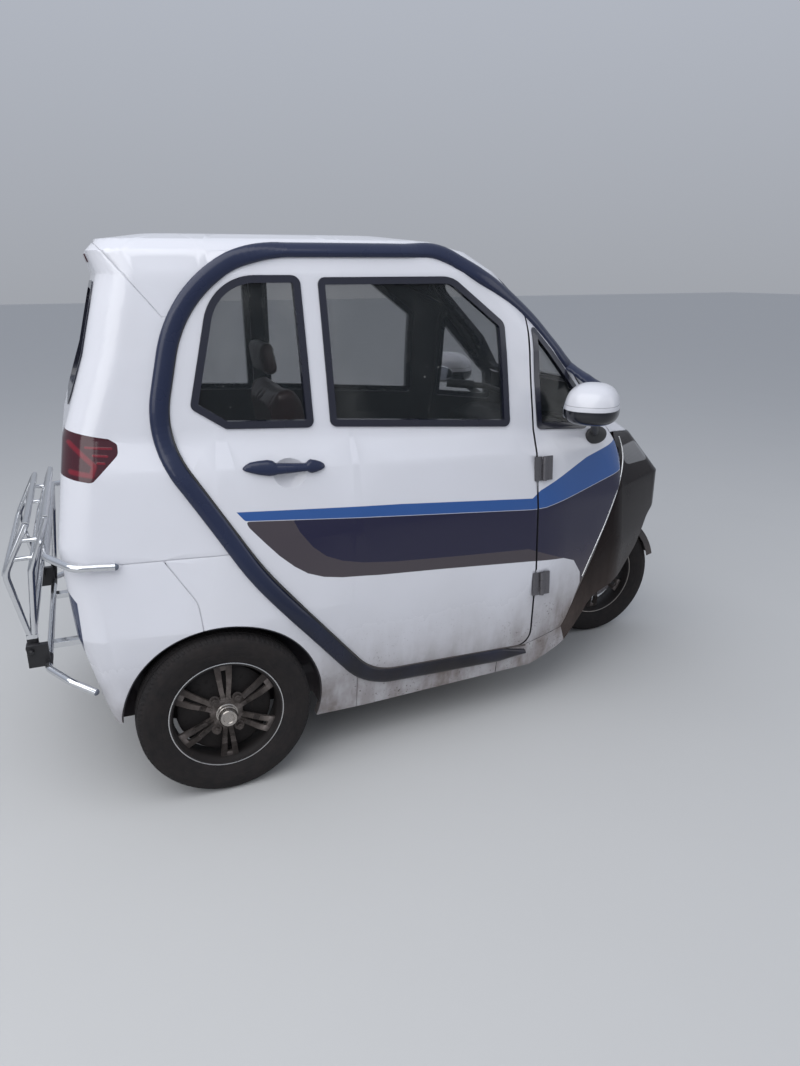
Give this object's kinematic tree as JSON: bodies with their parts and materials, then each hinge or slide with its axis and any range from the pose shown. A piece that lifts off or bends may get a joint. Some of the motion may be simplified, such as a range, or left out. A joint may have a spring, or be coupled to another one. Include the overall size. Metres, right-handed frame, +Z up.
{
  "type": "three-wheeled enclosed car",
  "caption": "Small enclosed three-wheeled car with hinged side doors, a steered front wheel, a rounded cabin and a folding chrome rear rack.",
  "frame": {"origin": "on the ground under the middle of the whole length and width", "axes": "+X forward, +Y to the car's left, +Z up"},
  "size_m": [2.413, 1.2354, 1.556],
  "materials": {
    "white_paint": "gloss white paint",
    "dark_gloss": "gloss dark plastic",
    "moulding": "gloss navy black moulding",
    "window_rubber": "matt black rubber",
    "clear_glass": "light tint",
    "tail_red": "red lens",
    "lamp_lens": "clear lens over silver",
    "steel_black": "black frame paint",
    "chrome_tube": "polished tube",
    "hinge_grey": "zinc plated",
    "black_plastic": "moulded grain",
    "seat_leather": "stitched leatherette",
    "tyre_rubber": "dusty tread rubber",
    "alloy": "brake-dusted alloy",
    "cast_grey": "painted castings",
    "floor_grey": "ribbed mat",
    "battery_case": "moulded case"
  },
  "bodies": {
    "body": {"roof_shell": "white_paint", "rear_shell": "white_paint", "rear_fenders": "white_paint", "tail_panel": "white_paint", "sills": "white_paint", "front_shell": "white_paint", "hood": "white_paint", "nose_fascia": "dark_gloss", "rear_lamps": "tail_red", "headlamps": "lamp_lens", "hinge_leaves_body": "hinge_grey", "door_mouldings": "moulding", "window_seals": "window_rubber", "fixed_glass": "clear_glass", "wheel_liners": "black_plastic", "chassis_frame": "steel_black", "floor_pan": "floor_grey", "rear_deck": "floor_grey", "dashboard": "black_plastic", "rear_axle": "cast_grey", "leaf_springs": "steel_black", "battery_box": "battery_case", "driver_cushion": "seat_leather", "driver_backrest": "seat_leather", "bench_cushion": "seat_leather", "bench_backrest": "seat_leather", "mirrors": "white_paint", "rear_bumper": "chrome_tube"},
    "steering": {"fork": "steel_black", "handlebar": "black_plastic", "front_mudguard": "black_plastic"},
    "front_wheel": {"front_tyre": "tyre_rubber", "front_rim": "alloy"},
    "rear_rack": {"folding_rack": "chrome_tube"},
    "door_right": {"door_shell_right": "white_paint", "door_window_frames_right": "window_rubber", "door_glass_right": "clear_glass", "door_handle_right": "moulding", "door_hinge_leaves_right": "hinge_grey"},
    "rear_wheel_right": {"rear_tyre_right": "tyre_rubber", "rear_rim_right": "alloy"},
    "door_left": {"door_shell_left": "white_paint", "door_window_frames_left": "window_rubber", "door_glass_left": "clear_glass", "door_handle_left": "moulding", "door_hinge_leaves_left": "hinge_grey"},
    "rear_wheel_left": {"rear_tyre_left": "tyre_rubber", "rear_rim_left": "alloy"}
  },
  "joints": [
    {"name": "door_right_hinge", "type": "hinge", "parent": "body", "child": "door_right", "pos_m": [0.39653, -0.486, 0.468], "axis": [0, 0.0566, 0.9984], "range_deg": [0, 65]},
    {"name": "door_left_hinge", "type": "hinge", "parent": "body", "child": "door_left", "pos_m": [0.39653, 0.486, 0.468], "axis": [0, 0.0566, -0.9984], "range_deg": [0, 65]},
    {"name": "steering_turn", "type": "hinge", "parent": "body", "child": "steering", "pos_m": [0.93438, 0, 0.24228], "axis": [-0.454, 0, 0.891], "range_deg": [-38, 38]},
    {"name": "front_wheel_spin", "type": "hinge", "parent": "steering", "child": "front_wheel", "pos_m": [0.94953, 0, 0.25], "axis": [0, 1, 0], "continuous": true},
    {"name": "rear_wheel_right_spin", "type": "hinge", "parent": "body", "child": "rear_wheel_right", "pos_m": [-0.66747, -0.5, 0.25], "axis": [0, 1, 0], "continuous": true},
    {"name": "rear_wheel_left_spin", "type": "hinge", "parent": "body", "child": "rear_wheel_left", "pos_m": [-0.66747, 0.5, 0.25], "axis": [0, 1, 0], "continuous": true},
    {"name": "rack_fold", "type": "hinge", "parent": "body", "child": "rear_rack", "pos_m": [-1.16347, 0, 0.446], "axis": [0, -1, 0], "range_deg": [0, 85]}
  ]
}
